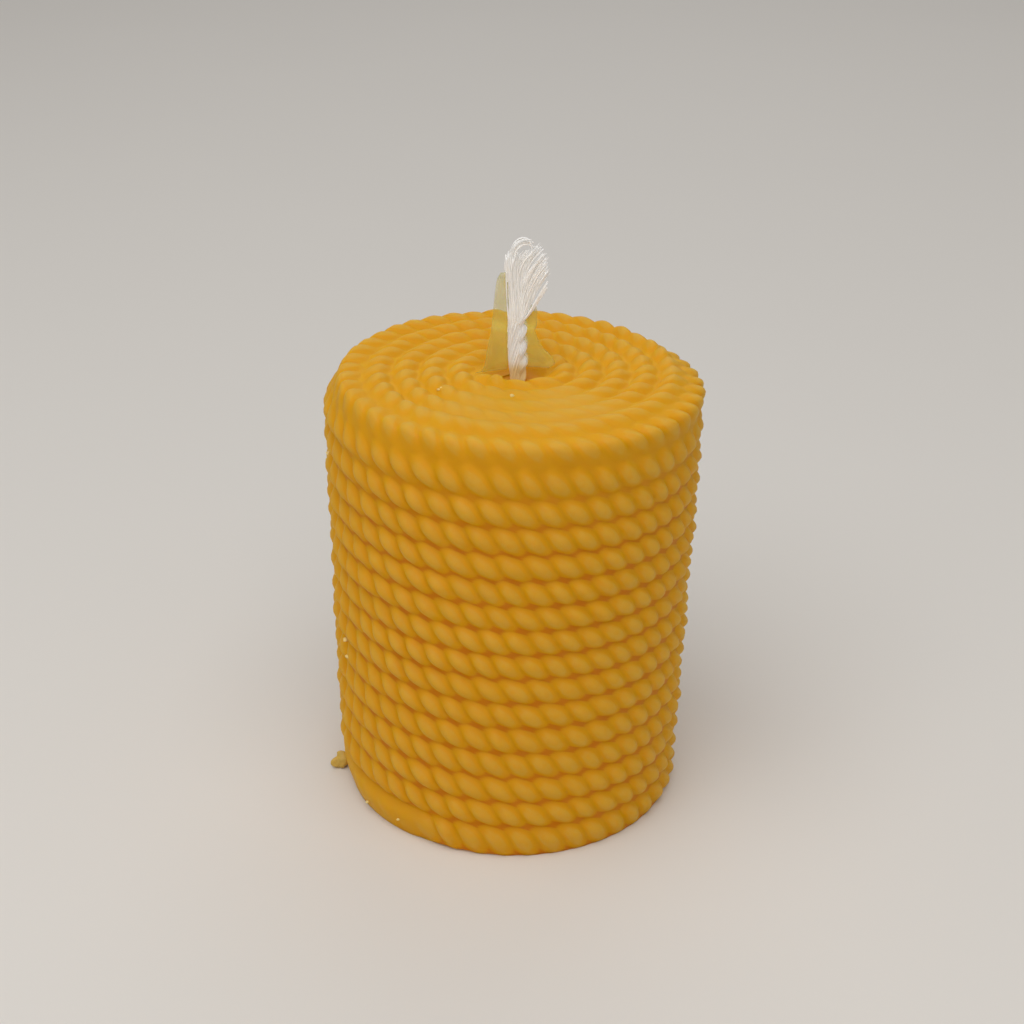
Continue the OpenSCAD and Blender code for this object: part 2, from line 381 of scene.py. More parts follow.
def beeswax(colours):
    """Cast beeswax: a pale painted sheen on the faces of the strands, clear yellow flanks and orange
    grooves with painted shade.
    Its stored relief is 1 on a face, 0 on a flank, -1 in a groove and -2 in the pit."""
    paint = Paint("candle_beeswax")
    relief = paint.stored("relief")
    clouds = paint.noise(9 * MM, 3)
    grain = paint.noise(0.7 * MM, 4, 0.6)
    fine = paint.noise(0.22 * MM, 2)
    # face carries the painted sheen on the faces of the strands
    face = relief.between(0.0, 0.9)
    # deep carries the painted shade in the grooves, which gives way to the flank colour towards the top
    deep = 1 - relief.between(-0.9, 0.0)
    high = paint.height().between(48 * MM, 66 * MM)
    gleam = face * (0.62 + 0.38 * grain.between(0.3, 0.6)) * (0.7 + 0.3 * clouds.between(0.35, 0.6))
    body = paint.mix(gleam, tuple(colours.wax_flank), tuple(colours.wax_crest_sheen))
    groove = paint.mix(high, tuple(colours.wax_groove_shade), tuple(colours.wax_flank))
    # Painted shade in the pit round the wick and in the hollows
    hollow = 1 - relief.between(-2.0, -1.0)
    body = paint.mix(hollow, paint.mix(deep, body, groove), tuple(colours.wax_pit_shade))
    roughness = 0.52 + 0.12 * grain - 0.04 * face
    normal = paint.bump(grain * 0.6 + fine * 0.4, 0.05 * MM, 0.5)
    return paint.finish(
        base_color=body, roughness=roughness, normal=normal, subsurface_weight=1.0,
        subsurface_radius=(1.0, 0.75, 0.25), subsurface_scale=0.65 * MM, specular_ior_level=0.2)


def loose_wax(name, wax_colour, roughness):
    """Wax in bits too small for light to spread far in them."""
    paint = Paint(name)
    clouds = paint.noise(0.8 * MM, 3)
    body = paint.mix(clouds.between(0.35, 0.65), tuple(wax_colour), shade(wax_colour, 0.86))
    return paint.finish(base_color=body, roughness=roughness, specular_ior_level=0.5)


def film_wax(colours):
    """Thin wax film: half see-through, clouded, denser towards its middle and paler along its crease."""
    paint = Paint("candle_film")
    clouds = paint.noise(2.2 * MM, 3)
    scratches = paint.noise(0.35 * MM, 3, 0.7)
    thick = paint.stored("thick")
    crease = paint.stored("crease")
    clear = paint.mix(clouds.between(0.35, 0.7), shade(colours.film, 0.88), shade(colours.film, 0.78))
    body = paint.mix(crease, clear, tuple(colours.film))
    alpha = 0.26 + 0.12 * thick + 0.2 * (clouds - 0.5) + 0.16 * crease
    normal = paint.bump(scratches, 0.06 * MM, 0.5)
    return paint.finish(
        base_color=body, roughness=0.38 + 0.15 * scratches, alpha=alpha, normal=normal,
        subsurface_weight=0.6, subsurface_radius=(1.0, 0.7, 0.3), subsurface_scale=0.8 * MM, ior=1.44)


def cotton(colours, waxed_height):
    """White cotton yarn, stained with wax at its foot, with a faint painted glow."""
    paint = Paint("candle_cotton")
    drawn_out = {0: paint.place, 1: (1.0, 1.0, 0.12)}
    along = paint.node("ShaderNodeVectorMath", {"operation": "MULTIPLY"}, drawn_out).outputs[0]
    streaks = paint.node(
        "ShaderNodeTexNoise", {}, {"Vector": along, "Scale": 1 / (0.12 * MM), "Detail": 3.0})
    fibres = Value(paint, streaks.outputs["Fac"])
    clouds = paint.noise(1.6 * MM, 2)
    uneven_height = paint.height() + (clouds - 0.5) * (3 * MM)
    waxed = 1 - uneven_height.between(waxed_height - 1.2 * MM, waxed_height + 1.9 * MM)
    clean = paint.mix(fibres.between(0.3, 0.6), shade(colours.cotton, 0.9), tuple(colours.cotton))
    body = paint.mix(waxed * 0.8, clean, tuple(colours.cotton_waxed))
    normal = paint.bump(fibres, 0.03 * MM, 0.5)
    # The emission is a faint painted glow, no lamp, that makes the cotton look brighter
    return paint.finish(
        base_color=body, roughness=0.88 - 0.3 * waxed, normal=normal, subsurface_weight=0.6,
        subsurface_radius=(1.0, 0.95, 0.9), subsurface_scale=0.9 * MM, sheen_weight=0.2,
        emission_color=body, emission_strength=0.08)


def pale_floor(colours):
    """Matt pale floor with a faint mottle."""
    paint = Paint("candle_floor")
    mottle = paint.noise(60 * MM, 2)
    body = paint.mix(mottle, tuple(colours.floor), shade(colours.floor, 0.985))
    return paint.finish(base_color=body, roughness=0.85)


# Wax body


class RopeRelief:
    """The rope in the wax: up the side clockwise, over the rim and in towards the wick."""

    strands = 3
    table_turns = (-20, 9)  # turns before and after the rim that the tables cover
    table_steps = 1000      # steps a turn in the tables
    rim_ease = 1.5          # turns in which the wider step at the rim builds up and dies away
    rim_width = 1.4         # pitches over which the rope's face turns from the side to the top
    corner_rounding = 0.9 * MM
    corner_fill = 0.5       # how far the groove is filled where the rope bends over the rim
    corner_pale = 0.55      # how much less painted shade the groove gets there
    half_share = 0.94       # part of the way to the next turn that the rope's face covers
    steepness = 0.66        # 1 where a grain crosses the rope as far as its lay goes, less if steeper
    scallop = 0.05          # how far the ends of the grains reach into the grooves between the turns
    top_softness = 0.3      # how much shallower the grooves between the strands are on top
    grain_variety = 0.075 * MM
    grain_seed = 5
    least_radius = 1 * MM   # keeps the tables growing near the middle
    lay_waves = ((1.1, 170 * MM, 11), (0.25, 34 * MM, 12), (0.1, 8 * MM, 13))   # size, length and seed
    swing_length = 50 * MM
    swing_middle = 13 * MM
    swing_fade = 6 * MM     # distance below the rim in which the swing dies away
    wander = 0.08 * MM
    wander_out = (22 * MM, 3)       # length and seed of the waves by which the rope strays outwards
    wander_aside = (27 * MM, 4)     # the same for straying aside
    shift_width = 4 * MM    # distance inwards from the rim in which the pole's shift builds up
    shift_low = 0.8         # part of the rim's height from which points are shifted
    shift_fade = 5 * MM
    worn_bearing = math.radians(-86)
    worn_most = 0.75        # how far the front of the top is rubbed smooth
    worn_facing = 0.5       # cosine of the angle from its bearing at which that starts
    worn_facing_fade = 0.4
    worn_inside = 5 * MM    # distance from the middle up to which it isn't
    worn_from = 0.6         # pitches in from the rim at which it starts
    worn_fade = 0.8
    worn_depth = 0.3        # depth to which it is rubbed, beside the depth of a groove
    # share of the painted sheen on the part that is rubbed smooth
    worn_sheen_mark = 0.5
    smear_turns = (0.335, 0.72)     # turns after the rope's start between which its grains are smeared
    smear_fades = (0.05, 0.1)
    smear_depth = 0.45 * MM
    smear_most = 0.7        # how much shallower the grains are there, and how much less painted sheen they get
    dent_depth = 0.16 * MM
    dent_waves = (7 * MM, 6)        # length and seed
    reach_table = (1.0 * MM, 2.2 * MM)  # heights of the lowest edge between which it leaves the table
    reach_power = 1.5
    face_stretch = (1.22, 1.1)      # how fast a grain's pale painted sheen ends, along the rope and across it
    face_edge = 0.93
    face_fade = 0.3
    deep_stretch = 0.55     # how far a groove's painted shade follows the grains, beside the turns
    deep_edge = 0.84
    deep_fade = 0.5
    start_lift = 0.05 * MM  # height of the rope's lower edge where it starts
    start_fade = 0.03
    end_fade = 0.22
    foot_gap = 0.1 * MM     # room between the foot and the turn above it
    foot_tuck = 0.7 * MM    # how far behind the groove the foot starts
    foot_grown = 1.2 * MM   # height of the foot from which it stands out in full
    foot_rounding = 0.3 * MM
    foot_rounding_height = 0.7 * MM
    # a small share of the painted sheen on the foot
    foot_mark = 0.25
    pit_room = (0.05 * MM, 0.1 * MM)    # room beside the last turn and below its edge
    pit_lip = 0.15 * MM
    pit_slope = 1.3
    pit_edge_mark = -0.3
    pit_darker = 1.4        # how much lower the mark is at the pit's inner edge, which deepens the painted shade there
    pit_darker_slope = 1.2

    def __init__(self, wax, edge_angle):
        self.wax = wax
        self.edge_angle = edge_angle
        self.rope_r = wax.rope_thickness / 2
        self.pitch = wax.turn_pitch
        self.half = self.half_share * self.pitch / 2
        self.rim_z = wax.height - self.rope_r
        first, last = self.table_turns
        turns = np.linspace(first, last, (last - first) * self.table_steps + 1)
        radius, z = self.profile(turns)
        self.start_turn = float(np.interp(self.half + self.start_lift, z[turns < 0], turns[turns < 0]))
        self.end_turn = float(np.interp(-wax.end_radius, -radius[turns > 0], turns[turns > 0]))
        self.pit_radius = wax.end_radius - self.half
        self.turn_table = turns
        gone = np.cumsum(2 * math.pi * np.maximum(radius, self.least_radius)) * (turns[1] - turns[0])
        self.length_table = gone
        self.lay_table = 2 * math.pi * gone / wax.lay_length + self.lay_wander(gone)
        grains = int(self.lay_table[-1] / (2 * math.pi) * self.strands) + 2
        self.grain_sizes = np.random.default_rng(self.grain_seed).normal(size=grains)

    def lay_wander(self, gone):
        """Uneven twist: slow over whole turns, quick from one strand to the next."""
        return sum(size * drift(gone, wavelength, seed) for size, wavelength, seed in self.lay_waves)

    def run(self, turn):
        """Distance gone from the rim across the turns, less than 0 below the rim."""
        eased = 0.5 * np.sin(math.pi * np.clip(turn / self.rim_ease, -0.5, 0.5))
        return self.pitch * (turn + (self.wax.rim_room - 1) * eased)

    def track(self, z):
        """Distance of the rope's middle from the axis on the side."""
        base, rim = self.wax.base_diameter, self.wax.rim_diameter
        return (base + (rim - base) * z / self.rim_z) / 2 - self.rope_r

    def profile(self, turn):
        """Distance from the middle and height of the rope's middle."""
        wax = self.wax
        run = self.run(turn)
        z = self.rim_z - soft_ramp(-run, self.corner_rounding)
        swing = np.sin(2 * math.pi * (z - self.swing_middle) / self.swing_length)
        z = z + wax.pitch_swing * swing * smooth((self.rim_z - z) / self.swing_fade)
        return self.track(z) - soft_ramp(run, self.corner_rounding) * wax.top_pitch / self.pitch, z

    def bearing(self, turn):
        return self.wax.rim_bearing - 2 * math.pi * turn

    def at(self, radius, bearing, z):
        """A point, moved right by the pole's shift where it lies on top."""
        inside = smooth((self.track(self.rim_z) - radius) / self.shift_width)
        on_top = inside * smooth((z - self.shift_low * self.rim_z) / self.shift_fade)
        return vector(radius * np.cos(bearing) + self.wax.pole_shift * on_top, radius * np.sin(bearing), z)

    def gone(self, turn):
        return np.interp(turn, self.turn_table, self.length_table)

    def lay(self, turn):
        """Angle by which the strands have turned round the rope."""
        return np.interp(turn, self.turn_table, self.lay_table)

    def tilt(self, turn):
        """How far the rope's face has turned from the side to the top."""
        return math.pi / 2 * smooth(self.run(turn) / (self.rim_width * self.pitch) + 0.5)

    def turn_of(self, lay):
        return np.interp(lay, self.lay_table, self.turn_table)

    def smear(self, turn):
        """1 where the lowest turn was smeared smooth at the foot."""
        first, last = self.smear_turns
        first_fade, last_fade = self.smear_fades
        after = turn - self.start_turn
        return smooth((after - first) / first_fade) * (1 - smooth((after - last) / last_fade))

    def reach_down(self, edge_z, smear):
        """1 where the lowest turn is drawn out to the table."""
        first, last = self.reach_table
        return np.maximum(1 - smooth((edge_z - first) / (last - first)), smear)

    def worn(self, turn, across):
        """How far the rope is rubbed smooth, at the front of the top."""
        ahead = np.cos(self.bearing(turn) - self.worn_bearing)
        facing = smooth((ahead - self.worn_facing) / self.worn_facing_fade)
        place = turn + across / 2
        outside = smooth((self.profile(place)[0] - self.worn_inside) / self.worn_inside)
        past_rim = smooth((self.run(place) / self.pitch - self.worn_from) / self.worn_fade)
        return self.worn_most * facing * outside * past_rim

    def edge(self, turn, step):
        """Half of the way to the next turn, or to the one before, the bend between them, and how far
        out and up the rope's edge moves to meet that turn where they bend over the rim."""
        radius, z = self.profile(turn)
        there_radius, there_z = self.profile(turn + step)
        tilt, there_tilt = self.tilt(turn), self.tilt(turn + step)
        half = self.half_share / 2 * np.hypot(there_radius - radius, there_z - z)
        bend = np.abs(there_tilt - tilt)
        way = (tilt + there_tilt) / 2
        floor = self.rope_r - self.wax.groove
        filled = floor + self.corner_fill * self.wax.groove * np.sin(bend)
        out = self.half_share / 2 * (there_radius - radius) + step * half * np.sin(tilt)
        up = self.half_share / 2 * (there_z - z) - step * half * np.cos(tilt)
        out = out + filled * np.cos(way) - floor * np.cos(tilt)
        up = up + filled * np.sin(way) - floor * np.sin(tilt)
        return half, bend, out, up

    def rope_point(self, turn, angle):
        """A point on the rope's face, a row of plump grains, and its mark for the painted sheen and shade:
        1 on a face, -1 in a groove.
        """
        wax = self.wax
        radius, z = self.profile(turn)
        gone = self.gone(turn)
        steps = (self.lay(turn) - self.steepness * angle) * self.strands / (2 * math.pi)
        grain = np.floor(steps + 0.5)
        along = np.abs(steps - grain) * 2
        across = np.sin(angle) / math.sin(self.edge_angle)
        size = self.grain_sizes[grain.astype(int) % len(self.grain_sizes)]
        smear = self.smear(turn)
        tilt = self.tilt(turn)
        worn = self.worn(turn, across)
        sides = zip(self.edge(turn, -1), self.edge(turn, 1))
        half, bend, edge_out, edge_up = (np.where(across < 0, low, high) for low, high in sides)
        corner = np.sin(bend) ** 2
        strand_share = wax.strand_share * (1 - self.top_softness * np.sin(tilt) ** 4)
        strand_share = strand_share * (1 - self.smear_most * smear)
        apart = np.hypot(strand_share * along, across)
        drop = wax.groove * (1 - np.cos(math.pi / 2 * np.minimum(apart, 1)))
        drop = drop * (1 - worn) + self.worn_depth * wax.groove * worn
        crown = (1 - along ** 2) * (1 - across ** 2)
        dents = self.dent_depth * drift(gone, *self.dent_waves) * (1 - across ** 2)
        lift = self.rope_r + self.grain_variety * size * crown - drop - (self.smear_depth + dents) * smear
        stray = self.wander * (1 - across ** 4)
        lift = lift + stray * drift(gone, *self.wander_out)
        nest = 1 + self.scallop * np.cos(math.pi * along) * across ** 4 * (1 - smear)
        side = half * across * nest + stray * drift(gone, *self.wander_aside)
        out = lift * np.cos(tilt) - side * np.sin(tilt) + edge_out * across ** 2
        up = lift * np.sin(tilt) + side * np.cos(tilt) + edge_up * across ** 2
        edge_z = z - self.half
        up = up - self.reach_down(edge_z, smear) * edge_z * np.maximum(-across, 0) ** self.reach_power
        # The mark gives painted sheen on the faces of the grains and painted shade in the grooves
        ends_along, ends_across = self.face_stretch
        from_face = np.hypot(ends_along * (1 - smear) * along, ends_across * across)
        face = smooth((self.face_edge - from_face) / self.face_fade)
        deep = smooth((across ** 2 + self.deep_stretch * along ** 2 - self.deep_edge) / self.deep_fade)
        deep = deep * (1 - self.corner_pale * corner) * (1 - smear)
        mark = (face * (1 - self.smear_most * smear) - deep) * (1 - worn) + self.worn_sheen_mark * worn
        return self.at(radius + out, self.bearing(turn), np.maximum(z + up, 0)), mark

    def foot_point(self, turn, angle):
        """The smooth foot, from the table up to the turn above it."""
        up = (angle + self.edge_angle) / (2 * self.edge_angle)
        above_z = self.profile(turn + 1)[1]
        edge_z = np.maximum(above_z - self.half - self.foot_gap, 0)
        edge_z = edge_z * (1 - self.reach_down(edge_z, self.smear(turn + 1)))
        z = edge_z * up
        grown = smooth(edge_z / self.foot_grown)
        full = self.rope_r - self.wax.foot_inset
        tucked = self.rope_r - self.wax.groove - self.foot_tuck
        stand_out = tucked + (full - tucked) * grown
        rounding = self.foot_rounding * (1 - smooth(z / self.foot_rounding_height)) * grown
        place = self.at(self.track(z) + stand_out - rounding, self.bearing(turn), z)
        return place, np.full(np.shape(z), self.foot_mark)

    def pit_point(self, turn, angle):
        """The floor between the last turn and the pit round the wick."""
        inwards = (angle + self.edge_angle) / (2 * self.edge_angle)
        outer_r, outer_z = self.profile(turn - 1)
        room_beside, room_below = self.pit_room
        edge_r = outer_r - self.half - room_beside
        edge_z = outer_z + self.rope_r - self.wax.groove - room_below
        low = self.wax.pit_floor + self.pit_lip
        radius = edge_r + (self.pit_radius - edge_r) * inwards
        z = low + (edge_z - low) * (1 - smooth(self.pit_slope * inwards))
        # The mark gives painted shade, deepest next to the wick
        mark = self.pit_edge_mark - self.pit_darker * smooth(self.pit_darker_slope * inwards)
        return self.at(radius, self.bearing(turn), z), mark

    def point(self, turn, angle):
        """A point of the wax and its mark, on the foot, the rope or the pit's floor."""
        turn, angle = np.broadcast_arrays(turn, angle)
        place, mark = self.rope_point(turn, angle)
        foot, foot_mark = self.foot_point(turn, angle)
        pit, pit_mark = self.pit_point(turn, angle)
        rope = smooth((turn - self.start_turn) / self.start_fade + 0.5)
        done = smooth((turn - self.end_turn) / self.end_fade + 0.5)
        place = foot + (place - foot) * rope[..., None]
        place = place + (pit - place) * done[..., None]
        mark = foot_mark + (mark - foot_mark) * rope
        return place, mark + (pit_mark - mark) * done


WICK_RETURN = (0.5, 10 * MM)    # part of its shift that the wick comes back, and in which height


def wick_shift(wax, z):
    """How far the wick lies to the right of the axis at a height: most where it leaves the wax."""
    part, height = WICK_RETURN
    inside = np.clip(z / wax.pit_floor, 0, 1)
    above = smooth((z - wax.pit_floor) / height)
    return wax.pole_shift * (inside - part * above)


# Hollows in the top beside the pit, which also get painted shade: place, size and depth in millimetres
HOLLOWS = ((5.4, -2.1, 0.9, 0.9), (-4.8, -5.1, 0.7, 0.6))


class WaxSkin:
    """A closed skin over the wax. Its columns follow the strands, so each groove has a line of points."""

    grain_columns = 8
    rope_rows = 10
    ring_points = 72
    bore_steps = 5
    bore_gap = 0.03 * MM
    bore_lip = 0.1 * MM         # how far the bore's edge stands above the pit's floor
    bore_top = 0.2 * MM         # how far below the floor the bore's straight wall ends
    floor_ring = 0.5            # where the ring of the pit's floor lies between the bore and the rope's end
    # Marks for the painted shade in the pit and in the hollows
    pit_mark = -2.0
    hollow_mark = -1.4
    hollow_edge = 1.4
    hollow_low = 0.5 * MM       # height above the pit's floor from which the skin is dented

    def __init__(self, wax, wick):
        self.column_angle = 2 * math.pi / RopeRelief.strands / self.grain_columns
        self.angles = self.column_angle * (np.arange(self.rope_rows) - (self.rope_rows - 1) / 2)
        self.relief = RopeRelief(wax, self.angles[-1])
        self.wax = wax
        self.wick = wick
        first = self.relief.lay(self.relief.start_turn - 1)
        last = self.relief.lay(self.relief.end_turn + 1)
        lead = self.relief.steepness * self.angles[0]
        self.first_lay = math.floor(first / self.column_angle) * self.column_angle + lead
        self.count = int((last - self.first_lay) / self.column_angle)
        self.points = []
        self.marks = []
        self.faces = []

    def turn_at(self, place):
        return self.relief.turn_of(self.first_lay + place * self.column_angle)

    def keep(self, points, marks):
        start = sum(len(p) for p in self.points)
        self.points.append(points.reshape(-1, 3))
        self.marks.append(np.broadcast_to(marks, points.shape[:-1]).reshape(-1))
        return start + np.arange(points.size // 3).reshape(points.shape[:-1])

    def add_zip(self, one, one_turns, other, other_turns):
        """Triangles between two lines of points, each with the turns at which its points lie."""
        i, j = 0, 0
        while i < len(one) - 1 or j < len(other) - 1:
            other_done = j == len(other) - 1
            if other_done or (i < len(one) - 1 and one_turns[i + 1] <= other_turns[j + 1]):
                self.faces.append([int(one[i]), int(one[i + 1]), int(other[j])])
                i += 1
            else:
                self.faces.append([int(one[i]), int(other[j + 1]), int(other[j])])
                j += 1

    def add_rope(self):
        place = np.arange(self.count)[:, None] + self.relief.steepness * np.arange(self.rope_rows)[None, :]
        points, marks = self.relief.point(self.turn_at(place), self.angles[None, :])
        self.rope = self.keep(points, marks)
        self.faces.extend(quads(self.rope))

    def add_grooves(self):
        """Joins the upper edge of each turn to the lower edge of the next."""
        rope = self.rope
        rows = self.relief.steepness * np.arange(self.rope_rows)
        last = self.count - 1
        upper = np.concatenate([rope[0], rope[1:, -1]])
        upper_turns = self.turn_at(np.concatenate([rows, np.arange(1, self.count) + rows[-1]]))
        lower = np.concatenate([rope[:, 0], rope[last, 1:]])
        lower_turns = self.turn_at(np.concatenate([np.arange(self.count), last + rows[1:]])) - 1
        first = int(np.searchsorted(lower_turns, upper_turns[0]))
        end = int(np.searchsorted(upper_turns, lower_turns[-1]))
        self.add_zip(upper[:end + 1], upper_turns[:end + 1], lower[first:], lower_turns[first:])
        self.base_edge = lower[:first + 1], lower_turns[:first + 1] + 1
        self.pit_edge = upper[end:], upper_turns[end:]

    def ring(self, radius, z):
        """A closed ring of points round the wick."""
        turns = np.arange(self.ring_points) / self.ring_points
        bearing = self.relief.bearing(turns)
        shift = wick_shift(self.wax, z)
        points = vector(radius * np.cos(bearing) + shift, radius * np.sin(bearing), z)
        return self.keep(points, self.pit_mark)

    def join_edge(self, edge, edge_turns, ring):
        """Faces between an open edge of one turn and a closed ring."""
        first = round(edge_turns[0] * self.ring_points)
        numbers = first + np.arange(self.ring_points + 1)
        self.add_zip(
            np.append(edge, edge[0]), np.append(edge_turns, edge_turns[0] + 1),
            ring[numbers % self.ring_points], numbers / self.ring_points)

    def add_ends(self):
        """The flat base, the hole for the wick and the floor of the pit."""
        bore_r = self.wick.half_width * Plait.pinched + self.bore_gap
        floor = self.wax.pit_floor
        floor_r = bore_r + (self.relief.pit_radius - bore_r) * self.floor_ring
        rings = [self.ring(floor_r, floor), self.ring(bore_r, floor + self.bore_lip)]
        for k in range(self.bore_steps + 1):
            rings.append(self.ring(bore_r, (floor - self.bore_top) * (1 - k / self.bore_steps)))
        for upper, lower in zip(rings[:-1], rings[1:]):
            wall = np.stack([np.append(lower, lower[0]), np.append(upper, upper[0])], axis=1)
            self.faces.extend(quads(wall))
        self.join_edge(*self.pit_edge, rings[0])
        self.join_edge(*self.base_edge, rings[-1])

    def build(self):
        self.add_rope()
        self.add_grooves()
        self.add_ends()
        points = np.concatenate(self.points)
        marks = np.concatenate(self.marks)
        for x, y, size, depth in HOLLOWS:
            apart = np.hypot(points[:, 0] - x * MM, points[:, 1] - y * MM) / (size * MM)
            dent = np.exp(-apart ** 2) * (points[:, 2] > self.wax.pit_floor + self.hollow_low)
            points[:, 2] -= depth * MM * dent
            marks = marks + (self.hollow_mark - marks) * smooth(self.hollow_edge * dent)
        return points, marks, self.faces


# Wick


class Plait:
    """Three strands that part and fan out at the top. The left one runs straight, the others cross over."""

    yarns_from = 60 * MM    # below this, down in the wax, a strand is one round cord
    yarn_step = 0.45 * MM
    yarn_sides = 5
    yarn_angle = math.radians(137.5)    # angle from one yarn to the next, which packs them evenly
    twist_length = 16 * MM
    core_share = 0.85
    core_step = 0.5 * MM
    core_sides = 12
    core_taper = 1.5 * MM
    pinched = 0.8           # width of the wick in the wax, beside its width above it
    pinch_top = 0.4 * MM    # height above the wax at which the wick starts to narrow
    pinch_length = 1.6 * MM
    left_place = (-0.5, -0.1)           # in millimetres beside the wick's middle
    right_place = (0.54, 0.1)
    right_phases = (120, -60)           # in degrees, where the strands part

    def __init__(self, wax, wick):
        self.wax = wax
        self.wick = wick
        self.radii = (wick.left_radius, wick.right_radius, wick.right_radius)
        self.counts = (wick.left_yarns, wick.right_yarns, wick.right_yarns)

    def pinch(self, z):
        """The wick is pressed narrower where it enters the wax."""
        return 1 - (1 - self.pinched) * smooth((self.wax.height + self.pinch_top - z) / self.pinch_length)

    def middle(self, strand, z):
        wick = self.wick
        if strand == 0:
            x, y = self.left_place
            return vector(x * MM * self.pinch(z) + wick_shift(self.wax, z), y * MM, z)
        x, y = self.right_place
        first = math.radians(self.right_phases[strand - 1])
        phase = first + 2 * math.pi * (z - wick.part_height) / wick.cross_pitch
        return vector(
            (x * MM + wick.cross_reach * np.cos(phase)) * self.pinch(z) + wick_shift(self.wax, z),
            y * MM + wick.cross_reach * np.sin(phase), z)

    def yarn_offset(self, strand, number, z):
        """Place of a yarn within its strand, which twists slowly."""
        outermost = self.radii[strand] - self.wick.yarn_radius
        radius = outermost * np.sqrt((number + 0.5) / self.counts[strand])
        turn = number * self.yarn_angle + 2 * math.pi * z / self.twist_length
        return vector(radius * np.cos(turn), radius * np.sin(turn), 0) * np.reshape(self.pinch(z), (-1, 1))

    def plaited_yarn(self, strand, number):
        """A yarn from down in the wax up to the place where the strands part."""
        z = np.arange(self.yarns_from, self.wick.part_height, self.yarn_step)
        return self.middle(strand, z) + self.yarn_offset(strand, number, z)


# Frayed end, in millimetres: for each strand the tips of its yarns from left to right, how far that line
# of tips bulges, how long the yarns hold the way they leave the plait, and their lean there and at the tips
FAN_TIPS = (
    {"left": (-1.5, 0.0, 82.8), "right": (0.45, 0.1, 83.3), "bulge": (0, 0, 0.3), "hold": (3.5, 3.5),
     "root": (-0.06, 0.06), "lean": (-0.05, 0.3)},
    {"left": (0.8, 0.3, 83.2), "right": (3.4, 0.5, 84.2), "bulge": (0, 0, 0.3), "hold": (5.5, 4.5),
     "root": (-0.05, 0.1), "lean": (0.8, 1.0)},
    {"left": (3.6, -0.4, 83.7), "right": (4.5, -0.6, 80.5), "bulge": (0.3, 0, 0.2), "hold": (4.2, 2.4),
     "root": (0.1, 0.62), "lean": (1.0, 0.75)},
)
LOW_LOCK = {"left": (4.2, -0.6, 79.8), "right": (4.2, -0.7, 79.1), "bulge": (0.1, 0, 0), "hold": (1.5, 1.5),
            "root": (1.0, 1.0), "lean": (0.7, 0.5)}
LOW_LOCK_FROM = 0.78        # share of the front strand's yarns that lie left of its low lock
CURL = ((-0.75, 0.0, 79.5), (-0.66, -0.05, 82.2), (-0.5, -0.1, 83.9), (0.0, -0.05, 84.85),
        (0.75, 0.05, 85.3), (1.5, 0.1, 85.25), (2.0, 0.15, 84.95))
CURL_YARNS = 40
CURL_STEPS = 6              # steps from one point of the curl to the next
CURL_CUT = 7                # less than this many steps are cut off a yarn's tip
CURL_SINK = 2               # how far a yarn may start below the curl
CURL_SPREAD = (0.2, 0.18, 0.17)
CURL_STRAY = 0.08
CURL_RADII = (0.12, 0.09)   # at the foot and at the tip of a yarn
CURL_SEED = 31
HAIR_SINK = 1.5             # how far below the place where the strands part a hair may start
HAIR_SPREAD = (0.15, 0.4, 0.4)
HAIR_STRAY = 0.25
HAIR_RADII = (0.05, 0.03)
HAIR_SIDES = 4
YARN_SPREAD = (0.08, 0.3, 0.3)
YARN_SEED = 20
FAN_STEPS = 14
TIP_HOLD = 0.42             # part of its reach for which a yarn holds its way at the tip
ROOT_STRAY = 0.03
TIP_STRAY = 0.06
SWAY = 0.05 * MM


def bezier(p0, p1, p2, p3, steps):
    t = np.linspace(0, 1, steps)[:, None]
    return (1 - t) ** 3 * p0 + 3 * t * (1 - t) ** 2 * p1 + 3 * t * t * (1 - t) * p2 + t ** 3 * p3


def smooth_line(points, steps):
    """A smooth line through a few points."""
    points = np.asarray(points, float)
    ways = np.gradient(points, axis=0)
    parts = []
    for a, b, way_a, way_b in zip(points[:-1], points[1:], ways[:-1], ways[1:]):
        parts.append(bezier(a, a + way_a / 3, b - way_b / 3, b, steps)[:-1])
    parts.append(points[-1:])
    return np.concatenate(parts)


def fan_line(start, fan, along, spread, rng):
    """A loose yarn from the plait to its tip, at a place along the fan from left to right."""
    part = {name: np.array(ends[0]) + (np.array(ends[1]) - np.array(ends[0])) * along
            for name, ends in fan.items() if name in ("hold", "root", "lean")}
    left, right = np.array(fan["left"]), np.array(fan["right"])
    bulge = np.array(fan["bulge"]) * 4 * along * (1 - along)
    tip = (left + (right - left) * along + bulge + rng.normal(0, 1, size=3) * np.array(spread)) * MM
    root_way = unit(np.array((part["root"] + rng.normal(0, ROOT_STRAY), 0.0, 1.0)))
    tip_way = unit(np.array((part["lean"] + rng.normal(0, TIP_STRAY), rng.normal(0, TIP_STRAY), 1.0)))
    reach = np.linalg.norm(tip - start)
    held = start + root_way * part["hold"] * MM
    bowed = bezier(start, held, tip - tip_way * reach * TIP_HOLD, tip, FAN_STEPS)
    sway = np.sin(np.linspace(0, math.pi, FAN_STEPS))[:, None] * rng.normal(0, SWAY, size=(1, 3))
    return bowed + sway


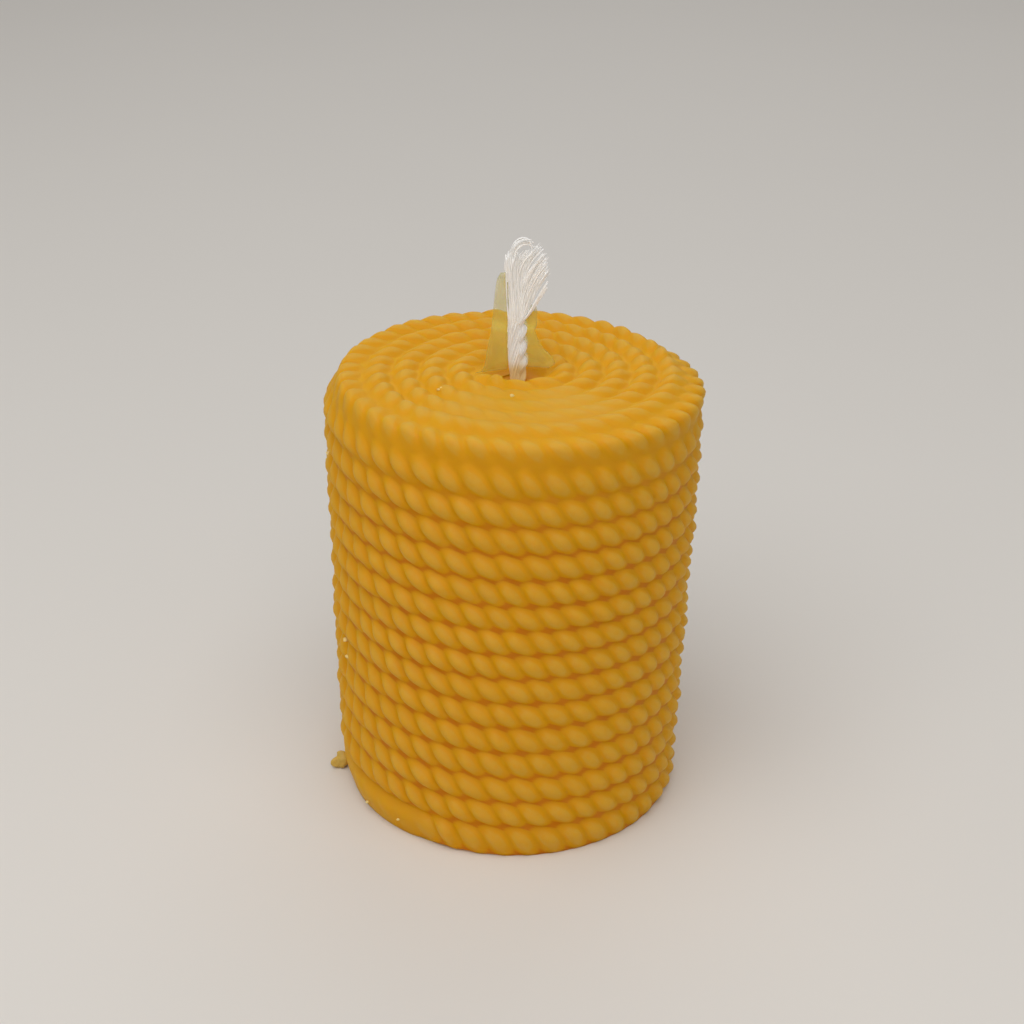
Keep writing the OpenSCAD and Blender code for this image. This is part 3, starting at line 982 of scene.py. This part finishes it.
def strand_tubes(plait, strand):
    """One strand of the wick, down in the wax and up to its frayed tips."""
    wick = plait.wick
    rng = np.random.default_rng(YARN_SEED + strand)
    count = plait.counts[strand]
    tubes = Tubes()
    z = np.append(np.arange(wick.low_end, wick.part_height, plait.core_step), wick.part_height)
    thin_top = 1 - 0.5 * smooth((z - wick.part_height + plait.core_taper) / plait.core_taper)
    core_radii = plait.radii[strand] * plait.core_share * thin_top * plait.pinch(z)
    tubes.add(plait.middle(strand, z), core_radii, plait.core_sides)
    order = np.argsort([plait.yarn_offset(strand, k, wick.part_height)[0, 0] for k in range(count)])
    for rank, number in enumerate(order):
        path = plait.plaited_yarn(strand, int(number))
        along = (rank + 0.5) / count
        fan = FAN_TIPS[strand]
        if strand == 2 and along > LOW_LOCK_FROM:
            fan = LOW_LOCK
            along = (along - LOW_LOCK_FROM) / (1 - LOW_LOCK_FROM)
        loose = fan_line(path[-1], fan, along, YARN_SPREAD, rng)
        line = np.concatenate([path, loose[1:]])
        thick = np.full(len(line), wick.yarn_radius)
        thick[-len(loose):] *= np.linspace(1.1, 0.85, len(loose))
        tubes.add(line, thick * rng.uniform(0.9, 1.1), plait.yarn_sides)
    return tubes


def loose_tubes(plait):
    """The curled lock and the fine hairs of the frayed end."""
    wick = plait.wick
    rng = np.random.default_rng(CURL_SEED)
    tubes = Tubes()
    curl = smooth_line(np.array(CURL) * MM, CURL_STEPS)
    for _ in range(CURL_YARNS):
        apart = rng.normal(0, 1, size=3) * np.array(CURL_SPREAD) * MM
        cut = rng.integers(0, CURL_CUT)
        line = curl[:len(curl) - cut] + apart
        line = line + np.linspace(0, 1, len(line))[:, None] * rng.normal(0, CURL_STRAY * MM, size=3)
        line[0] = line[0] - (0, 0, rng.uniform(0, CURL_SINK) * MM)
        tubes.add(line, np.linspace(*CURL_RADII, len(line)) * MM, plait.yarn_sides)
    for _ in range(wick.hairs):
        strand = int(rng.integers(0, 3))
        root = plait.middle(strand, wick.part_height - rng.uniform(0, HAIR_SINK) * MM)
        start = root + rng.normal(0, HAIR_STRAY * MM, size=3)
        line = fan_line(start, FAN_TIPS[strand], rng.uniform(-0.05, 1.05), HAIR_SPREAD, rng)
        tubes.add(line, np.linspace(*HAIR_RADII, len(line)) * MM, HAIR_SIDES)
    return tubes


# Films of mould flash: their outer edges from the foot to the top, in millimetres from the axis
LEFT_EDGE = ((-5.6, 65.9), (-4.7, 66.3), (-4.25, 67.4), (-3.95, 69.6), (-3.4, 72.4), (-3.1, 76.0),
             (-2.75, 79.4), (-2.2, 80.7))
RIGHT_EDGE = ((4.9, 66.9), (5.75, 67.7), (4.75, 69.0), (3.55, 70.4), (2.95, 71.8), (2.8, 72.4),
              (3.05, 73.2), (3.0, 75.4), (2.75, 76.0))
FILM_COLUMNS = 9
EDGE_STEPS = 5              # steps from one point of an edge to the next
EDGE_ROUNDING = (3, 9)      # how fast a film gets thicker, in from its outer edge and from its ends
FOOT_CURL = 0.5 * MM        # how far the foot of a film curls forwards
FOOT_CURL_FADE = 1.6
EDGE_CURL = 0.25 * MM       # how far its outer edge does, all the way up
FOLD_DEPTH = 0.22 * MM      # how far it folds back above the crease
FOLD_HEIGHT = 0.5 * MM
FILM_RIPPLE = 0.07 * MM
RIPPLE_LENGTH = 3.2 * MM
CREASE_SLOPE = 0.25         # how fast a crease rises away from the wick


def film_skin(outer, inner_x, foot_z, top, films, seed):
    """A thin closed sheet between the wick and an outer edge, creased and a little curled."""
    edge = smooth_line(np.array([(x, 0.0, z) for x, z in outer]) * MM, EDGE_STEPS)
    w = np.linspace(0, 1, FILM_COLUMNS)[None, :]
    low = foot_z * MM
    rise = np.linspace(0, 1, len(edge))[:, None]
    inner_z = low + (top - low) * rise
    x = inner_x * MM + (edge[:, :1] - inner_x * MM) * w
    z = inner_z + (edge[:, 2:] - inner_z) * w
    up = (z - low) / (top - low)
    curl = -FOOT_CURL * (1 - smooth(FOOT_CURL_FADE * up)) * w - EDGE_CURL * w * w
    fold = FOLD_DEPTH * smooth((z - films.crease_height) / FOLD_HEIGHT) * w
    middle = vector(x, curl + fold, z)
    middle[..., 1] += FILM_RIPPLE * ripple(middle, RIPPLE_LENGTH, seed)
    from_side, from_end = EDGE_ROUNDING
    from_edge = np.minimum((1 - w) * from_side, np.minimum(rise, 1 - rise) * from_end)
    round_edge = np.minimum(1, from_edge)
    half = (films.edge_thickness + (films.thickness - films.edge_thickness) * smooth(round_edge)) / 2
    front = middle - vector(0, half, 0)
    back = middle + vector(0, half, 0)
    return front, back, smooth(round_edge)


def closed_sheet(front, back):
    """Points and faces of two like grids joined round their edges."""
    rows, across = front.shape[:2]
    points = np.concatenate([front.reshape(-1, 3), back.reshape(-1, 3)])
    number = np.arange(rows * across).reshape(rows, across)
    faces = quads(number) + quads(number + rows * across)
    loop = np.concatenate([number[0, :-1], number[:-1, -1], number[-1, :0:-1], number[:0:-1, 0]])
    for a, b in zip(loop, np.roll(loop, -1)):
        faces.append([int(a), int(b), int(b) + rows * across, int(a) + rows * across])
    return points, faces


# Lumps of wax


# The burr's lumps: place beside its middle, height and size in millimetres
BURR_LUMPS = (
    (0.6, -0.3, 1.1, (1.2, 0.9, 1.2)),
    (-0.15, -0.5, 0.85, (0.88, 0.75, 0.85)),
    (0.6, -0.1, 1.95, (0.9, 0.6, 0.85)),
)
BURR_SEED = 41
BURR_ROUGHNESS = 0.22
BURR_VOXEL = 0.12 * MM

# Crumbs on the skin: place and size in millimetres
CRUMBS = (
    (-0.31, -10.2, 66.5, 0.3), (-10.0, -7.8, 66.45, 0.32), (-10.5, -8.3, 66.4, 0.22),
    (-26.5, -3.4, 53.1, 0.5), (-26.4, -4.2, 52.0, 0.4), (-26.5, -2.8, 54.0, 0.36),
    (-25.6, -5.6, 36.0, 0.34), (-25.4, -6.2, 33.2, 0.28), (-23.8, -11.2, 25.2, 0.3),
    (-24.1, -10.1, 27.4, 0.34), (-21.0, -14.4, 1.9, 0.26), (-16.1, -19.8, 2.6, 0.22),
)
CRUMB_SEED = 60
CRUMB_FLATNESS = 0.7
CRUMB_ROUGHNESS = 0.3
LUMP_WAVES = (1.6, 0.7)     # lengths of the waves on a lump, beside its half width


def lump(centre, size, seed, rough):
    """A small rounded lump of wax with an uneven skin."""
    ball = bmesh.new()
    bmesh.ops.create_icosphere(ball, subdivisions=3, radius=1.0)
    points = np.array([v.co for v in ball.verts])
    faces = [[v.index for v in f.verts] for f in ball.faces]
    ball.free()
    coarse, fine = LUMP_WAVES
    swell = 1 + rough * ripple(points, coarse, seed) + 0.5 * rough * ripple(points, fine, seed + 1)
    return points * swell[:, None] * np.array(size) * MM + np.array(centre) * MM, faces


def fuse(piece, voxel):
    """Melts the overlapping lumps of a piece into one skin."""
    remesh = piece.modifiers.new("melt", "REMESH")
    remesh.mode = "VOXEL"
    remesh.voxel_size = voxel
    evaluated = piece.evaluated_get(bpy.context.evaluated_depsgraph_get())
    melted = bpy.data.meshes.new_from_object(evaluated)
    piece.modifiers.remove(remesh)
    old = piece.data
    piece.data = melted
    bpy.data.meshes.remove(old)
    melted.shade_smooth()


# Operators


class CANDLE_OT_wax_body(bpy.types.Operator):
    """Makes the wax body with the rope relief"""

    bl_idname = "candle.wax_body"
    bl_label = "Wax body"

    skin_waves = ((0.035 * MM, 3.5 * MM, 8), (0.02 * MM, 1.5 * MM, 9))     # height, length and seed
    even_foot = 0.5 * MM    # height above the table in which they build up

    def execute(self, context):
        scene = context.scene
        points, marks, faces = WaxSkin(scene.candle_wax, scene.candle_wick).build()
        body = add_piece(
            "wax_body", points, faces, beeswax(scene.candle_colours),
            ("wax_core", "foot_ramp", "rope_winding"))
        mesh = body.data
        face_outwards(mesh)
        normals = np.zeros(len(mesh.vertices) * 3, np.float32)
        mesh.vertices.foreach_get("normal", normals)
        uneven = sum(high * ripple(points, wavelength, seed) for high, wavelength, seed in self.skin_waves)
        uneven = uneven * smooth(points[:, 2] / self.even_foot)
        points = np.clip(points + normals.reshape(-1, 3) * uneven[:, None], CAD_LOW, CAD_HIGH)
        mesh.vertices.foreach_set("co", points.astype(np.float32).ravel())
        mesh.update()
        store(mesh, "relief", marks)
        return {"FINISHED"}


class CANDLE_OT_seam_burr(bpy.types.Operator):
    """Makes the lump of wax on the mould's seam and the crumbs that cling to the skin"""

    bl_idname = "candle.seam_burr"
    bl_label = "Seam burr and crumbs"

    def execute(self, context):
        middle = (BURR_LOW + BURR_HIGH) / 2 / MM
        lumps = []
        for k, (right, back, height, size) in enumerate(BURR_LUMPS):
            centre = (middle.x + right, middle.y + back, height)
            lumps.append(lump(centre, size, BURR_SEED + k, BURR_ROUGHNESS))
        colours = context.scene.candle_colours
        burr_wax = loose_wax("candle_burr", colours.wax_burr, 0.5)
        burr = self.add_lumps("wax_burr", lumps, burr_wax, ("seam_burr",))
        fuse(burr, BURR_VOXEL)
        for corner in burr.data.vertices:
            corner.co.z = max(corner.co.z, 0.0)
        crumbs = []
        for k, (x, y, z, size) in enumerate(CRUMBS):
            sizes = (size, size, CRUMB_FLATNESS * size)
            crumbs.append(lump((x, y, z), sizes, CRUMB_SEED + k, CRUMB_ROUGHNESS))
        # The crumbs' pale colour is partly their own and partly a painted highlight for glints
        self.add_lumps("wax_crumbs", crumbs, loose_wax("candle_crumb", colours.wax_crumb_and_glint, 0.3), ())
        return {"FINISHED"}

    def add_lumps(self, name, lumps, paint, nodes):
        points, faces = [], []
        for lump_points, lump_faces in lumps:
            start = sum(len(p) for p in points)
            points.append(np.clip(lump_points, CAD_LOW, CAD_HIGH))
            faces += [[start + i for i in face] for face in lump_faces]
        return add_piece(name, np.concatenate(points), faces, paint, nodes)


class CANDLE_OT_films(bpy.types.Operator):
    """Makes the two thin films of wax beside the wick"""

    bl_idname = "candle.films"
    bl_label = "Wax films"

    def execute(self, context):
        films = context.scene.candle_films
        paint = film_wax(context.scene.candle_colours)
        # Piece, outer edge, inner edge and foot in millimetres, top, seed and node
        sides = (
            ("wax_film_left", LEFT_EDGE, -1.0, 66.3, films.left_top, 51, "flash_fin_left"),
            ("wax_film_right", RIGHT_EDGE, 1.2, 66.7, films.right_top, 52, "flash_fin_right"),
        )
        for name, outer, inner_x, foot_z, top, seed, node in sides:
            front, back, thick = film_skin(outer, inner_x, foot_z, top, films, seed)
            points, faces = closed_sheet(front, back)
            film = add_piece(name, points, faces, paint, (node,))
            face_outwards(film.data)
            store(film.data, "thick", np.concatenate([thick.ravel(), thick.ravel()]))
            from_crease = points[:, 2] - films.crease_height - CREASE_SLOPE * np.abs(points[:, 0])
            store(film.data, "crease", np.exp(-(from_crease / films.crease_width) ** 2))
        return {"FINISHED"}


class CANDLE_OT_wick(bpy.types.Operator):
    """Makes the three plaited strands of the wick and its frayed end"""

    bl_idname = "candle.wick"
    bl_label = "Wick"

    def execute(self, context):
        scene = context.scene
        plait = Plait(scene.candle_wax, scene.candle_wick)
        paint = cotton(scene.candle_colours, scene.candle_wax.height)
        names = ("cotton_strand_left", "cotton_strand_rear", "cotton_strand_front")
        nodes = ("wick_strand_a", "wick_strand_b", "wick_strand_c")
        for strand, (name, node) in enumerate(zip(names, nodes)):
            tubes = strand_tubes(plait, strand)
            add_piece(name, np.concatenate(tubes.points), tubes.faces, paint, (node,))
        tubes = loose_tubes(plait)
        points = np.concatenate(tubes.points)
        add_piece("cotton_tuft", points, tubes.faces, paint, ("frayed_threads",))
        return {"FINISHED"}


class CANDLE_OT_stage(bpy.types.Operator):
    """Sets up the floor, the soft light and the camera"""

    bl_idname = "candle.stage"
    bl_label = "Stage"

    eye = Vector((-0.05, -262.695, 172.524)) * MM
    target = Vector((-0.05, 0.0, 43.66)) * MM
    roll = math.radians(0.94)
    lens = 69.838
    floor_half = 0.72
    lights = (  # place, size and power
        ("key_light", (-0.11, -0.31, 0.64), 0.75, 3.75),
        ("fill_light", (0.4, -0.55, 0.35), 0.6, 0.2),
        ("rear_light", (0.1, 0.6, 0.6), 0.6, 0.8),
    )
    world_colour = (0.9, 0.88, 0.86)
    world_light = 0.32      # strength of the light from all round
    world_seen = 0.5        # strength at which the world is seen behind the floor

    def execute(self, context):
        scene = context.scene
        self.add_floor(scene)
        for light in self.lights:
            self.add_light(*light)
        self.add_world(scene)
        self.add_camera(scene)
        scene.view_settings.view_transform = "Standard"
        return {"FINISHED"}

    def add_world(self, scene):
        world = scene.world or bpy.data.worlds.new("studio")
        scene.world = world
        world.use_nodes = True
        nodes = Nodes(world.node_tree)
        rays = nodes.node("ShaderNodeLightPath", {}, {}).outputs
        straight, mirrored, through = (
            Value(nodes, rays[f"Is {kind} Ray"]) for kind in ("Camera", "Glossy", "Transmission"))
        added = self.world_seen - self.world_light
        backdrop = nodes.tree.nodes["Background"]
        nodes.link(backdrop.inputs["Color"], self.world_colour)
        nodes.link(backdrop.inputs["Strength"], self.world_light + added * (straight + mirrored + through))

    def add_floor(self, scene):
        half = self.floor_half
        corners = [(-half, -half, 0), (half, -half, 0), (half, half, 0), (-half, half, 0)]
        mesh = bpy.data.meshes.new("floor")
        mesh.from_pydata(corners, [], [(0, 1, 2, 3)])
        mesh.materials.append(pale_floor(scene.candle_colours))
        floor = bpy.data.objects.new("floor", mesh)
        scene.collection.objects.link(floor)

    def add_light(self, name, place, size, power):
        lamp = bpy.data.lights.new(name, "AREA")
        lamp.size = size
        lamp.energy = power
        light = bpy.data.objects.new(name, lamp)
        light.location = place
        light.rotation_euler = (self.target - Vector(place)).to_track_quat("-Z", "Y").to_euler()
        bpy.context.scene.collection.objects.link(light)

    def add_camera(self, scene):
        data = bpy.data.cameras.new("camera")
        data.lens = self.lens
        data.clip_start = 0.01
        camera = bpy.data.objects.new("camera", data)
        camera.location = self.eye
        facing = (self.target - self.eye).to_track_quat("-Z", "Y").to_matrix()
        camera.rotation_euler = (facing @ Matrix.Rotation(self.roll, 3, "Z")).to_euler()
        scene.collection.objects.link(camera)
        scene.camera = camera


class CANDLE_PT_sidebar(bpy.types.Panel):
    """Lists the pieces of the candle and their sizes"""

    bl_idname = "CANDLE_PT_sidebar"
    bl_label = "Rope relief candle"
    bl_space_type = "VIEW_3D"
    bl_region_type = "UI"
    bl_category = "Candle"

    def draw(self, context):
        for operator in OPERATORS:
            self.layout.operator(operator.bl_idname)
        for group in GROUPS:
            box = self.layout.box()
            settings = getattr(context.scene, group)
            for name in settings.__annotations__:
                box.prop(settings, name)


GROUPS = {
    "candle_wax": CandleWax, "candle_wick": CandleWick, "candle_films": CandleFilms,
    "candle_colours": CandleColours,
}
OPERATORS = (
    CANDLE_OT_wax_body, CANDLE_OT_seam_burr, CANDLE_OT_films, CANDLE_OT_wick, CANDLE_OT_stage,
)


def register():
    for group, kind in GROUPS.items():
        bpy.utils.register_class(kind)
        setattr(bpy.types.Scene, group, PointerProperty(type=kind))
    for kind in (*OPERATORS, CANDLE_PT_sidebar):
        bpy.utils.register_class(kind)


def unregister():
    for kind in (CANDLE_PT_sidebar, *reversed(OPERATORS)):
        bpy.utils.unregister_class(kind)
    for group, kind in GROUPS.items():
        delattr(bpy.types.Scene, group)
        bpy.utils.unregister_class(kind)


def main():
    register()
    bpy.ops.candle.stage()
    bpy.ops.candle.wax_body()
    bpy.ops.candle.seam_burr()
    bpy.ops.candle.films()
    bpy.ops.candle.wick()


if __name__ == "__main__":
    main()
